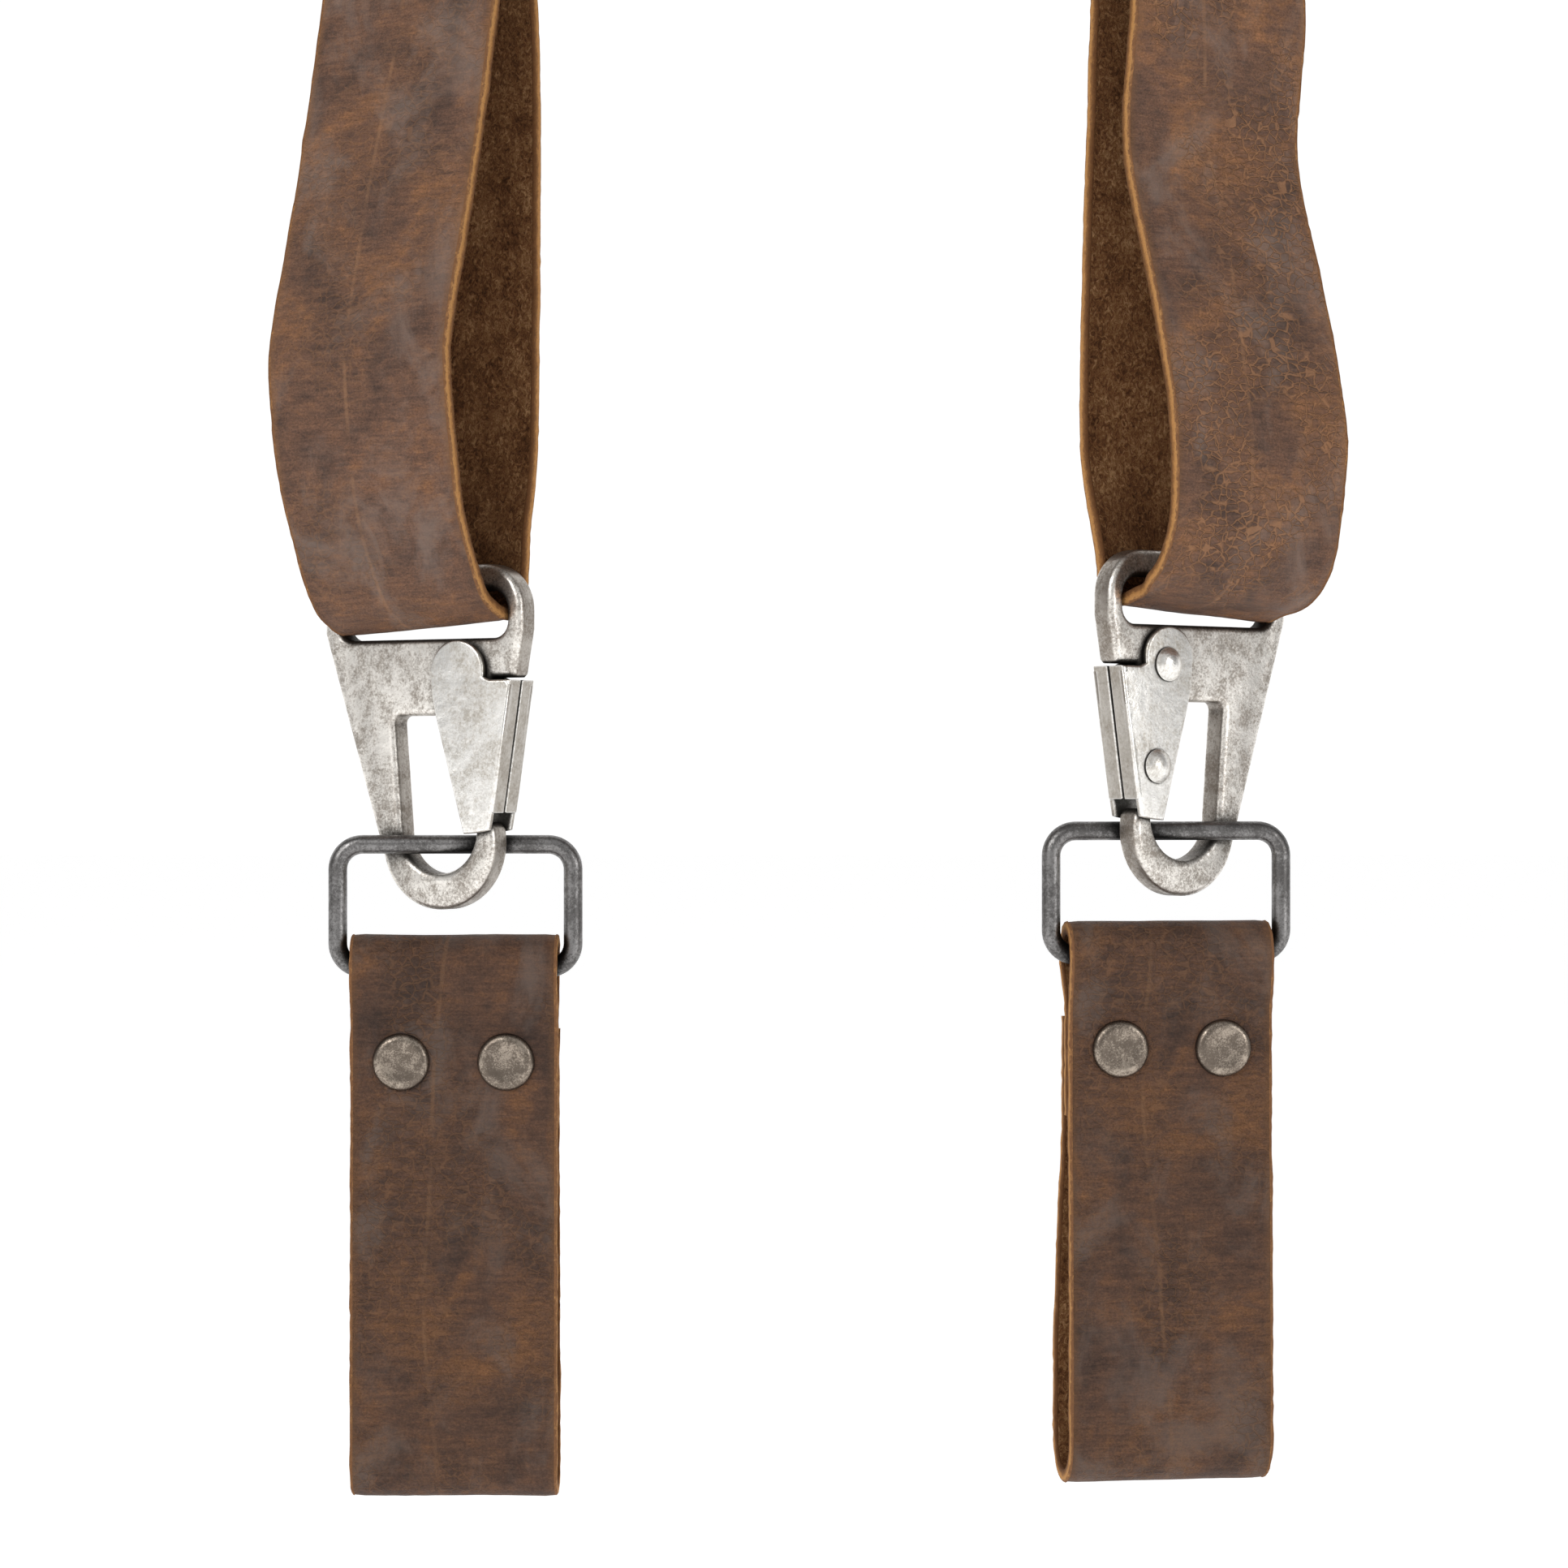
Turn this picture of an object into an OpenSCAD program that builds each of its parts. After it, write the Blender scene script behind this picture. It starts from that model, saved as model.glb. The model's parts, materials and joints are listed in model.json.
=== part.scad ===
// Leather suspenders, Y-back, hanging over a rail with the front ends in front (-Y).
// The origin is where the inside of the straps rests on the top of the rail. +Z is up.

/* [Leather] */
// Width of the straps and belt loops
strap_w = 36; // [34:1:36]
// Width of an upper strap where it is squeezed through a hook's eye
fold_w = 32.6; // [32:0.2:32.8]
// Thickness of the leather
leather_t = 2.4; // [2.2:0.1:2.4]

/* [Hanging pose] */
// Radius of the rail under the straps
rail_r = 20; // [16:1:24]
// Distance of each front strap from the middle plane
front_x = 67; // [60:1:72]
// Depth of the left front hook's eye bar below the rail top
front_drop = 645; // [620:5:700]
// How much higher the right front end hangs
right_rise = 2.4; // [0:0.2:5]
// Depth of the back hook's eye bar below the rail top
back_drop = 365; // [350:5:390]
// Turn of the left front hook about the vertical
left_turn = -29; // [-30:1:-28]
// Turn of the right front hook about the vertical
right_turn = 36.5; // [36:0.5:38]
// Turn of the back hook about the vertical
back_turn = 152; // [150:1:153]

/* [Snap hook] */
// Thickness of the cast hook plate
plate_t = 5; // [4.5:0.1:5]
// Thickness of the gate's sheet metal
gate_sheet = 1.2; // [1:0.1:1.4]
// Radius of the domed rivet heads on the hook
hook_head_r = 2.95; // [2.5:0.05:3]

/* [Wire ring] */
// Outer width of the ring
ring_w = 44.6; // [43:0.2:46]
// Outer height of the ring
ring_h = 25; // [24:0.5:26]
// Radius of the ring's wire
wire_r = 1.65; // [1.5:0.05:1.65]

/* [Belt loop] */
// Length of a belt loop below the ring's lower bar
belt_loop_h = 92.6; // [80:0.2:100]
// Radius of the rivet caps
cap_r = 5; // [4:0.5:5]
// Distance between the two rivets of a belt loop
rivet_gap = 18.3; // [16:0.1:20]

/* [Hidden] */

$fn = 48;
eps = 0.01;
leather_colour = [0.36, 0.22, 0.14];
nickel_colour = [0.70, 0.68, 0.64];
gunmetal_colour = [0.24, 0.24, 0.26];

LEFT = 0;
RIGHT = 1;
BACK = 2;

// Where the straps run: radius of the leather's middle over the rail, and its distance from the rail
arch_r = rail_r + leather_t / 2;
strap_y = arch_r;

// Eye bars of the three hooks
eye_at = [[-front_x, -strap_y, -front_drop],
    [front_x, -strap_y, -front_drop + right_rise],
    [0, strap_y, -back_drop]];
// Turn of each strap loop; the right hook is the same hook, seen from its other side
strap_turn = [left_turn, right_turn, back_turn];
hook_turn = [left_turn, right_turn + 180, back_turn];
// Turn of each ring and belt loop
ring_turn = [0, 8, 180];

// Snap hook, in its own frame: x towards the gate, y through the plate, z up, eye bar at the origin
eye_outer = 20.9;
eye_arm = 3.2;
eye_corner_r = 8;
eye_corner_z = 2.5 - eye_corner_r;
eye_bar_h = 4.6;
slot_floor = -10.5;
slot_corner_r = 3;
shoulder_z = -17.4;
window_top = -23.9;
hook_c = [3.3, -46.1];
hook_r = 11.8;
bow_c = [3.4, -43.8];
bow_r = 7.8;
nose_top = -42.5;
pivot_at = [9, -17.5];
lower_rivet_at = [11.5, -35.2];
pin_r = 1.5;
pivot_play = 0.06;
cheek_in = plate_t / 2 + 0.25;
cheek_out = cheek_in + gate_sheet;

// Ring frame: the upper bar's middle
bar_in_hook = [3.5, -46.5];
ring_slide = 1.7;
ring_corner_r = 4.35;
ring_drop = ring_h - 2 * wire_r;

// Belt loop frame: the ring's lower bar
rivet_z = -16.2;
ply_gap = 0.1;
ply = leather_t + ply_gap;
// How far the back ply of each belt loop stands away from the front ply
belly = [2.2, 7, 3.5];

// ---------- plain geometry helpers ----------

function arc(c, r, a0, a1, n) = [for (i = [0:n]) c + r * [cos(a0 + (a1 - a0) * i / n), sin(a0 + (a1 - a0) * i / n)]];

function unit(v) = v / norm(v);

function mix(a, b, t) = a + (b - a) * t;

function smooth(t) = let (s = min(1, max(0, t))) s * s * (3 - 2 * s);

// Point at t on a Catmull-Rom span from b to c
function span_point(a, b, c, d, t) =
    0.5 * (2 * b + (c - a) * t + (2 * a - 5 * b + 4 * c - d) * t * t + (3 * b - a - 3 * c + d) * t * t * t);

// Smooth line through all of the points, with n steps between neighbours
function spline(p, n) = let (last = len(p) - 1) concat(
    [for (i = [0:last - 1]) for (k = [0:n - 1])
        span_point(p[max(0, i - 1)], p[i], p[i + 1], p[min(last, i + 2)], k / n)],
    [p[last]]);

// Polygon whose corners are rounded with radius r
function rounded(p, r, n = 6) = [for (i = [0:len(p) - 1])
    let (a = p[(i + len(p) - 1) % len(p)], b = p[i], c = p[(i + 1) % len(p)],
        u = unit(a - b), v = unit(c - b),
        half = acos(u * v) / 2,
        centre = b + unit(u + v) * r / sin(half),
        s = b + u * r / tan(half) - centre,
        e = b + v * r / tan(half) - centre)
    for (k = [0:n]) centre + r * unit(mix(s, e, k / n))];

// Outline of a sheet of thickness t that follows an open line
function sheet_outline(p, t) = let (last = len(p) - 1,
        side = [for (i = [0:last]) let (d = unit(p[min(last, i + 1)] - p[max(0, i - 1)])) [-d[1], d[0]] * t / 2])
    concat([for (i = [0:last]) p[i] + side[i]], [for (i = [last:-1:0]) p[i] - side[i]]);

// Flat ribbon through stations of [middle, half-width vector]
module ribbon(stations, t) {
    last = len(stations) - 1;
    corners = [for (i = [0:last]) let (
            along = stations[min(last, i + 1)][0] - stations[max(0, i - 1)][0],
            m = stations[i][0],
            w = stations[i][1],
            h = unit(cross(along, w)) * t / 2)
        each [m - w - h, m + w - h, m + w + h, m - w + h]];
    sides = [for (i = [0:last - 1]) for (k = [0:3]) let (a = 4 * i + k, b = 4 * i + (k + 1) % 4)
        each [[a, b, b + 4], [a, b + 4, a + 4]]];
    e = 4 * last;
    polyhedron(corners, concat([[0, 2, 1], [0, 3, 2]], sides, [[e, e + 1, e + 2], [e, e + 2, e + 3]]));
}

module rounded_bar(w, h, r) {
    square([w - 2 * r, h], center = true);
    square([w, h - 2 * r], center = true);
    for (sx = [-1, 1])
        for (sy = [-1, 1])
            translate([sx * (w / 2 - r), sy * (h / 2 - r)])
                circle(r);
}

// Solid of an outline drawn in x and z, thick along y from y0 to y1
module upright(y0, y1) {
    translate([0, y1, 0])
        rotate([90, 0, 0])
            linear_extrude(y1 - y0)
                children();
}

// Pin along y from y0 to y1
module pin(at, r, y0, y1) {
    translate([at[0], y0, at[1]])
        rotate([-90, 0, 0])
            cylinder(r = r, h = y1 - y0);
}

// Shallow dome on the z = 0 plane
module dome(r, h) {
    ball = (r * r + h * h) / (2 * h);
    rotate_extrude()
        polygon(concat([[0, 0]], arc([0, h - ball], ball, acos(r / ball), 90, 6)));
}

// ---------- strap paths ----------

// Strap loops as [distance in front of the eye bar, height above it], from the tail's end
// down the back ply, under the eye bar and up the front ply
tail_top = 178;
back_tail_top = 64;
// Height above the back eye bar where the back strap lies flat to the patch
back_flat = 83;
doubled = leather_t / 2 + ply_gap;
under_bar = [[-4.5, 0], [-4, -3.6], [-1.8, -6.5], [1.5, -7.4], [5.2, -6.4]];
loop_left = concat([[-doubled, tail_top], [-doubled, 150], [-1.6, 128], [-4.6, 112], [-6.8, 92],
        [-7, 60], [-6.3, 25], [-5, 8]],
    under_bar,
    [[10.3, -2.8], [16.6, 9], [20, 20.5], [22, 34.5], [21, 43], [13, 71], [6.2, 100],
        [1.9, 119], [1.32, 129], [doubled, 140], [doubled, 150], [doubled, tail_top]]);
loop_right = concat([[-doubled, tail_top], [-doubled, 150], [-1.6, 125], [-3.6, 99], [-5, 75],
        [-6.4, 51], [-7.1, 27], [-6.4, 10]],
    under_bar,
    [[10.6, -5.2], [15.4, -1.8], [18.8, 4.5], [20.2, 14], [20.1, 24], [16.4, 39], [12.2, 52],
        [7.4, 66], [6, 77], [8.4, 98], [3.2, 117], [1.32, 129], [doubled, 140], [doubled, 150],
        [doubled, tail_top]]);
loop_back = concat([[-doubled, back_tail_top], [-doubled, 48], [-3.2, 34], [-4.9, 18], [-4.7, 6]],
    under_bar,
    [[9, -3], [11.2, 8], [10.4, 20], [5.2, 35], [doubled, 48], [doubled, back_tail_top], [0.4, 76],
        [0, back_flat]]);
fold_tilt = [2.2, -2.2, 0];
// How much further each strap turns once it is out of the eye
twist = [1.5, -7.5, 0];
ply_turn = strap_turn + twist;
loops = [loop_left, loop_right, loop_back];

// Half-width of a strap at a height above the eye bar: it narrows where it passes the eye
function half_width(z) = mix(fold_w, strap_w, smooth((z - 6) / 16)) / 2;

// Station of strap loop k at [distance in front, height above the eye bar]
function loop_station(k, p) = let (
        a = strap_turn[k] + twist[k] * max(smooth((p[0] - 5) / 8), smooth((p[1] - 4) / 16)),
        lean = fold_tilt[k] / strap_w * (1 - smooth((p[1] + 4) / 40)))
    [eye_at[k] + [p[0] * sin(a), -p[0] * cos(a), p[1]],
        half_width(p[1]) * [cos(a), sin(a), lean]];

// A front strap above its loop turns square to the rail, and then goes over it
rail_start = -rail_r;
turn_end = -120;
lean_start = -25;
lean_len = 70;
lean_slope = 0.25;
strap_end = -250;

function upright_station(k, z) = let (
        z0 = eye_at[k][2] + tail_top,
        t = (z - z0) / (turn_end - z0),
        a = ply_turn[k] * (1 - smooth(t)),
        n = doubled * (1 - smooth(t)))
    [[eye_at[k][0] + n * sin(a), eye_at[k][1] - n * cos(a), z], strap_w / 2 * [cos(a), sin(a), 0]];

function arch_station(x, a) =
    [[x, -arch_r * cos(a), rail_start + arch_r * sin(a)], [strap_w / 2, 0, 0]];

// Inward shift and slope of a strap behind the rail
function lean_in(z) = let (d = min(lean_len, max(0, lean_start - z)), rest = max(0, lean_start - lean_len - z))
    lean_slope * (d * d / (2 * lean_len) + rest);

function lean_at(z) = lean_slope * min(1, max(0, (lean_start - z) / lean_len));

function behind_station(side, z) =
    [[side * (front_x - lean_in(z)), strap_y, z], strap_w / 2 * unit([1, 0, -side * lean_at(z)])];

module front_strap(k, side) {
    z0 = eye_at[k][2] + tail_top;
    ribbon(concat(
        [for (p = spline(loops[k], 5)) loop_station(k, p)],
        [for (i = [1:16]) upright_station(k, mix(z0, turn_end, i / 16))],
        [for (a = [0:18:180]) arch_station(eye_at[k][0], a)],
        [for (i = [0:12]) behind_station(side, mix(lean_start, strap_end, i / 12))]), leather_t);
}

// ---------- leather ----------

module strap_left() {
    color(leather_colour)
        front_strap(LEFT, -1);
}

module strap_right() {
    color(leather_colour)
        front_strap(RIGHT, 1);
}

// The back strap hangs from the patch; its lower end is folded through the back hook
back_strap_top = strap_end - 4;

module strap_back() {
    top = back_strap_top - eye_at[BACK][2];
    color(leather_colour)
        ribbon([for (p = spline(concat(loop_back, [[0, top - 6], [0, top]]), 5)) back_station(p)], leather_t);
}

// The back strap turns square to the patch as it goes up
function back_station(p) = let (
        a = mix(strap_turn[BACK], 180, smooth((p[1] - back_tail_top) / (back_flat - back_tail_top))),
        w = half_width(p[1]))
    [eye_at[BACK] + [p[0] * sin(a), -p[0] * cos(a), p[1]], w * [cos(a), sin(a), 0]];

patch_outline = [[-55, -200], [55, -200], [45, -251], [23, -266], [23, -281],
    [-23, -281], [-23, -266], [-45, -251]];
patch_rivets = [[-31, -212], [31, -212], [-21.5, -240], [21.5, -240], [-9, -272], [9, -272]];

module patch(y) {
    color(leather_colour)
        difference() {
            upright(y - leather_t / 2, y + leather_t / 2)
                polygon(rounded(patch_outline, 6));
            for (at = patch_rivets)
                pin(at, pin_r + 0.1, y - leather_t, y + leather_t);
        }
}

module back_patch_outer() {
    patch(strap_y + ply);
}

module back_patch_inner() {
    patch(strap_y - ply);
}

keeper_z = 168;
keeper_h = 11;
keeper_t = 1.6;

module keeper(k) {
    inner = [strap_w + 0.8, 2 * leather_t + 0.9];
    color(leather_colour)
        translate(eye_at[k] + [0, 0, keeper_z])
            rotate([0, 0, ply_turn[k]])
                translate([0, 0, -keeper_h / 2])
                    difference() {
                        linear_extrude(keeper_h)
                            rounded_bar(inner[0] + 2 * keeper_t, inner[1] + 2 * keeper_t, 2.2);
                        translate([0, 0, -1])
                            linear_extrude(keeper_h + 2)
                                rounded_bar(inner[0], inner[1], 1);
                    }
}

module keeper_left() {
    keeper(LEFT);
}

module keeper_right() {
    keeper(RIGHT);
}

// ---------- rivets ----------

cap_h = 1.7;
cap_rim = 0.5;
head_gap = 0.03;
shank_in_cap = 0.9;

// Domed cap whose flat side is at y = 0 and faces +y, with a blind bore for the post
module rivet_cap() {
    difference() {
        rotate([90, 0, 0]) {
            cylinder(r = cap_r, h = cap_rim);
            translate([0, 0, cap_rim])
                dome(cap_r, cap_h - cap_rim);
        }
        rotate([90, 0, 0])
            translate([0, 0, -1])
                cylinder(r = pin_r + 0.03, h = 1 + shank_in_cap + 0.1);
    }
}

// Post whose base's flat side is at y = 0 and faces -y, with a shank of length reach
module rivet_post(reach) {
    rotate([-90, 0, 0]) {
        cylinder(r = cap_r, h = cap_rim);
        translate([0, 0, cap_rim])
            dome(cap_r, cap_h - cap_rim - 0.4);
    }
    rotate([90, 0, 0])
        translate([0, 0, -eps])
            cylinder(r = pin_r, h = reach + shank_in_cap + eps);
}

// Frame of the belt loop of hook k: the middle of the ring's lower bar
module at_ring(k) {
    centre = ring_centre(k);
    translate(centre)
        rotate([0, 0, ring_turn[k]])
            children();
}

function ring_centre(k) = let (h = hook_turn[k], r = ring_turn[k],
        side = cos(h - r) > 0 ? 1 : -1,
        across = bar_in_hook[0])
    eye_at[k] + [across * cos(h) + side * ring_slide * cos(r),
        across * sin(h) + side * ring_slide * sin(r), bar_in_hook[1]];

module at_belt_loop(k) {
    at_ring(k)
        translate([0, 0, -ring_drop])
            children();
}

// Middle line of a belt loop's strip in [y, z], from the tail between the plies, over the ring's bar,
// down the front, round the bottom and up the back
function belt_loop_line(k) = let (
        front = -ply - 0.9,
        back = ply + belly[k],
        r = (back - front) / 2,
        bottom = -belt_loop_h + leather_t / 2 + r)
    concat(spline([[0, -28], [0, -16], [0, -11.4], [0.6, -8], [2.7, -4.2], [4.2, 0], [3, 3.6], [0, 4.8],
            [-3, 3.6], [-4.2, 0], [-3.7, -4.5], [-2.7, -8.5], [-ply, -12], [-ply, -20], [-ply, -30],
            [front + 0.3, -46], [front, bottom + 14], [front, bottom + 7]], 4),
        arc([front + r, bottom], r, 180, 360, 10),
        spline([[back, bottom + 7], [back - 0.1, bottom + 16], [ply + belly[k] * 0.5, -47],
            [ply + belly[k] * 0.12, -36], [ply + 0.05, -29], [ply, -20], [ply, -10.8]], 4));

module belt_loop(k) {
    color(leather_colour)
        at_belt_loop(k)
            difference() {
                translate([-strap_w / 2, 0, 0])
                    rotate([90, 0, 90])
                        linear_extrude(strap_w)
                            polygon(sheet_outline(belt_loop_line(k), leather_t));
                for (side = [-1, 1])
                    pin([side * rivet_gap / 2, rivet_z], pin_r + 0.1, -8, 8);
            }
}

module belt_loop_caps(k) {
    color(nickel_colour)
        at_belt_loop(k)
            for (side = [-1, 1])
                translate([side * rivet_gap / 2, -ply - leather_t / 2 - head_gap, rivet_z])
                    rivet_cap();
}

module belt_loop_posts(k) {
    color(nickel_colour)
        at_belt_loop(k)
            for (side = [-1, 1])
                translate([side * rivet_gap / 2, ply + leather_t / 2 + head_gap, rivet_z])
                    rivet_post(2 * (ply + leather_t / 2 + head_gap));
}

// The patch's caps face the back, so the whole rivet is turned
module patch_rivet_caps() {
    color(nickel_colour)
        for (at = patch_rivets)
            translate([at[0], strap_y + ply + leather_t / 2 + head_gap, at[1]])
                rotate([0, 0, 180])
                    rivet_cap();
}

module patch_rivet_posts() {
    color(nickel_colour)
        for (at = patch_rivets)
            translate([at[0], strap_y - ply - leather_t / 2 - head_gap, at[1]])
                rotate([0, 0, 180])
                    rivet_post(2 * (ply + leather_t / 2 + head_gap));
}

back_rivet_z = 56;
doubled_face = doubled + leather_t / 2 + head_gap;

module at_doubled(k, z) {
    translate(eye_at[k] + [0, 0, z])
        rotate([0, 0, ply_turn[k]])
            children();
}

module back_strap_rivet_caps() {
    color(nickel_colour)
        at_doubled(BACK, back_rivet_z)
            for (side = [-1, 1])
                translate([side * rivet_gap / 2, -doubled_face, 0])
                    rivet_cap();
}

module back_strap_rivet_posts() {
    color(nickel_colour)
        at_doubled(BACK, back_rivet_z)
            for (side = [-1, 1])
                translate([side * rivet_gap / 2, doubled_face, 0])
                    rivet_post(2 * doubled_face);
}

// Two screw posts on each front strap join the tail to the strap
screw_heights = [136, 154];
screw_r = 4.5;
screw_h = 1.2;
screw_slot = 1;

module adjuster_screws() {
    color(nickel_colour)
        for (k = [LEFT, RIGHT])
            for (z = screw_heights)
                at_doubled(k, z)
                    translate([0, -doubled_face, 0])
                        rotate([90, 0, 0])
                            difference() {
                                cylinder(r = screw_r, h = screw_h);
                                translate([-screw_r - 1, -screw_slot / 2, screw_h / 2])
                                    cube([2 * screw_r + 2, screw_slot, screw_h]);
                            }
}

module adjuster_posts() {
    color(nickel_colour)
        for (k = [LEFT, RIGHT])
            for (z = screw_heights)
                at_doubled(k, z)
                    translate([0, doubled_face, 0])
                        rotate([90, 0, 0]) {
                            translate([0, 0, -screw_h])
                                cylinder(r = screw_r, h = screw_h);
                            cylinder(r = 2, h = 2 * doubled_face - head_gap);
                        }
}

// ---------- snap hook ----------

module at_hook(k) {
    translate(eye_at[k])
        rotate([0, 0, hook_turn[k]])
            children();
}

function hook_plate() = concat(
    [[-eye_outer, eye_corner_z], [-eye_outer, -9.2]],
    arc(hook_c, hook_r, 198, 372, 30),
    [[14.4, nose_top - 0.4], [13.7, nose_top], [11.8, nose_top]],
    arc(bow_c, bow_r, 8, -180, 26),
    [[-5.9, window_top - 1.5]],
    arc([-4.5, window_top - 1.4], 1.4, 170, 90, 4),
    [[14.5, window_top], [14.5, shoulder_z], [19.4, shoulder_z], [eye_outer, -9],
        [eye_outer, eye_corner_z], [eye_outer - eye_arm, eye_corner_z]],
    arc([eye_outer - eye_arm - slot_corner_r, slot_floor + slot_corner_r], slot_corner_r, 0, -90, 6),
    arc([-eye_outer + eye_arm + slot_corner_r, slot_floor + slot_corner_r], slot_corner_r, -90, -180, 6),
    [[-eye_outer + eye_arm, eye_corner_z]]);

module hook_body(k) {
    corner_x = eye_outer - eye_corner_r;
    color(nickel_colour)
        at_hook(k)
            difference() {
                union() {
                    upright(-plate_t / 2, plate_t / 2)
                        polygon(hook_plate());
                    translate([-corner_x - eps, 0, 0])
                        rotate([90, 0, 90])
                            linear_extrude(2 * corner_x + 2 * eps)
                                rounded_bar(plate_t, eye_bar_h, 2.2);
                    for (side = [0, 1])
                        mirror([side, 0, 0])
                            translate([corner_x, 0, eye_corner_z])
                                rotate([90, 0, 0])
                                    rotate_extrude(angle = 90)
                                        translate([eye_corner_r - eye_arm / 2, 0])
                                            rounded_bar(eye_arm, plate_t, 1.5);
                }
                pin(pivot_at, pin_r + 0.02, -plate_t, plate_t);
                // Rounded off where the ring's bar lies across the hook
                translate([bar_in_hook[0], 0, bar_in_hook[1]])
                    rotate([0, 0, ring_turn[k] - hook_turn[k]])
                        rotate([0, 90, 0])
                            cylinder(r = wire_r + 0.12, h = 60, center = true);
            }
}

// Domed pin that goes through both cheeks, with its head on the +y side
module domed_pin(at) {
    pin(at, pin_r, -cheek_out, cheek_out + 0.06 + eps);
    translate([at[0], cheek_out + 0.06, at[1]])
        rotate([-90, 0, 0]) {
            cylinder(r = hook_head_r, h = 0.3);
            translate([0, 0, 0.3 - eps])
                dome(hook_head_r, 1.3);
        }
}

module hook_pivot_rivet(k) {
    color(nickel_colour)
        at_hook(k)
            domed_pin(pivot_at);
}

module gate_lower_rivet(k) {
    color(nickel_colour)
        at_hook(k)
            domed_pin(lower_rivet_at);
}

gate_reach = 27.1;
gate_top = -18.5;
web_foot = -40.9;
seam_w = 0.3;

// Side of the gate: a round head at the pivot, then a leaf that narrows towards the nose
module cheek_outline() {
    translate([8.4, -16.3])
        circle(5.5);
    polygon(concat([[8.4, -16.3], [2.95, -17.1], [3.2, -20.5], [3.9, -24]],
        arc(pivot_at, gate_reach, 271.6, 283, 5),
        [[16.5, -36.7], [19.4, gate_top], [12.6, gate_top], [12.6, -16.3]]));
}

module web_outline() {
    polygon([[19.4 - gate_sheet, gate_top], [19.4, gate_top], [16.5, -36.7], [15.8, web_foot],
        [15.8 - gate_sheet, web_foot], [16.5 - gate_sheet, -36.7]]);
}

module gate(k) {
    color(nickel_colour)
        at_hook(k)
            difference() {
                union() {
                    for (y = [-cheek_out, cheek_in])
                        upright(y, y + gate_sheet)
                            cheek_outline();
                    upright(-cheek_out, cheek_out)
                        web_outline();
                }
                pin(pivot_at, pin_r + pivot_play, -10, 10);
                pin(lower_rivet_at, pin_r + 0.02, -10, 10);
                // Seam between the gate's two halves along its spine
                upright(-seam_w / 2, seam_w / 2)
                    translate([gate_sheet * 0.65, 0])
                        web_outline();
            }
}

coil_r = 2.3;
spring_wire_r = 0.45;
coil_turns = 3;
coil_len = 3.5;

// Middle line of the spring: a leg up to the plate, the coil on the lower rivet, a leg to the spine
spring_line = concat(
    [[-4.6, -coil_len / 2, 8.4], [-3.4, -coil_len / 2, 4]],
    [for (i = [0:12 * coil_turns + 6]) let (a = 180 - 30 * i)
        [coil_r * cos(a), coil_len * (i / (12 * coil_turns + 6) - 0.5), -coil_r * sin(180 - a)]],
    [[2.7, coil_len / 2, 4]]);

// Round wire of n sides along a line that lies mostly in planes across y
module wire(line, r, n) {
    last = len(line) - 1;
    corners = [for (i = [0:last]) let (
            along = unit(line[min(last, i + 1)] - line[max(0, i - 1)]),
            across = unit(cross(along, [0, 1, 0])),
            up = cross(along, across))
        for (k = [0:n - 1]) line[i] + r * (across * cos(360 * k / n) + up * sin(360 * k / n))];
    sides = [for (i = [0:last - 1]) for (k = [0:n - 1])
        let (a = n * i + k, b = n * i + (k + 1) % n)
        each [[a, b, b + n], [a, b + n, a + n]]];
    polyhedron(corners, concat([[for (k = [n - 1:-1:0]) k]], sides, [[for (k = [0:n - 1]) n * last + k]]));
}

// Torsion spring on the lower rivet, with one leg up to the plate and one against the spine
module gate_spring(k) {
    color(gunmetal_colour)
        at_hook(k)
            translate([lower_rivet_at[0], 0, lower_rivet_at[1]])
                wire(spring_line, spring_wire_r, 8);
}

// ---------- wire ring ----------

module ring(k) {
    flat_x = ring_w / 2 - wire_r - ring_corner_r;
    side_x = ring_w / 2 - wire_r;
    color(gunmetal_colour)
        at_ring(k) {
            for (z = [0, -ring_drop])
                translate([-flat_x, 0, z])
                    rotate([0, 90, 0])
                        cylinder(r = wire_r, h = 2 * flat_x);
            for (side = [0, 1])
                mirror([side, 0, 0]) {
                    translate([side_x, 0, -ring_drop + ring_corner_r])
                        cylinder(r = wire_r, h = ring_drop - 2 * ring_corner_r);
                    for (turn = [0, 90])
                        translate([flat_x, 0, turn == 0 ? -ring_corner_r : -ring_drop + ring_corner_r])
                            rotate([90, turn, 0])
                                rotate_extrude(angle = 90)
                                    translate([ring_corner_r, 0])
                                        circle(wire_r);
                }
        }
}

// ---------- the three ends ----------

module hook_body_left() { hook_body(LEFT); }
module hook_pivot_rivet_left() { hook_pivot_rivet(LEFT); }
module gate_left() { gate(LEFT); }
module gate_lower_rivet_left() { gate_lower_rivet(LEFT); }
module gate_spring_left() { gate_spring(LEFT); }
module ring_left() { ring(LEFT); }
module belt_loop_left() { belt_loop(LEFT); }
module belt_loop_caps_left() { belt_loop_caps(LEFT); }
module belt_loop_posts_left() { belt_loop_posts(LEFT); }

module hook_body_right() { hook_body(RIGHT); }
module hook_pivot_rivet_right() { hook_pivot_rivet(RIGHT); }
module gate_right() { gate(RIGHT); }
module gate_lower_rivet_right() { gate_lower_rivet(RIGHT); }
module gate_spring_right() { gate_spring(RIGHT); }
module ring_right() { ring(RIGHT); }
module belt_loop_right() { belt_loop(RIGHT); }
module belt_loop_caps_right() { belt_loop_caps(RIGHT); }
module belt_loop_posts_right() { belt_loop_posts(RIGHT); }

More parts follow.
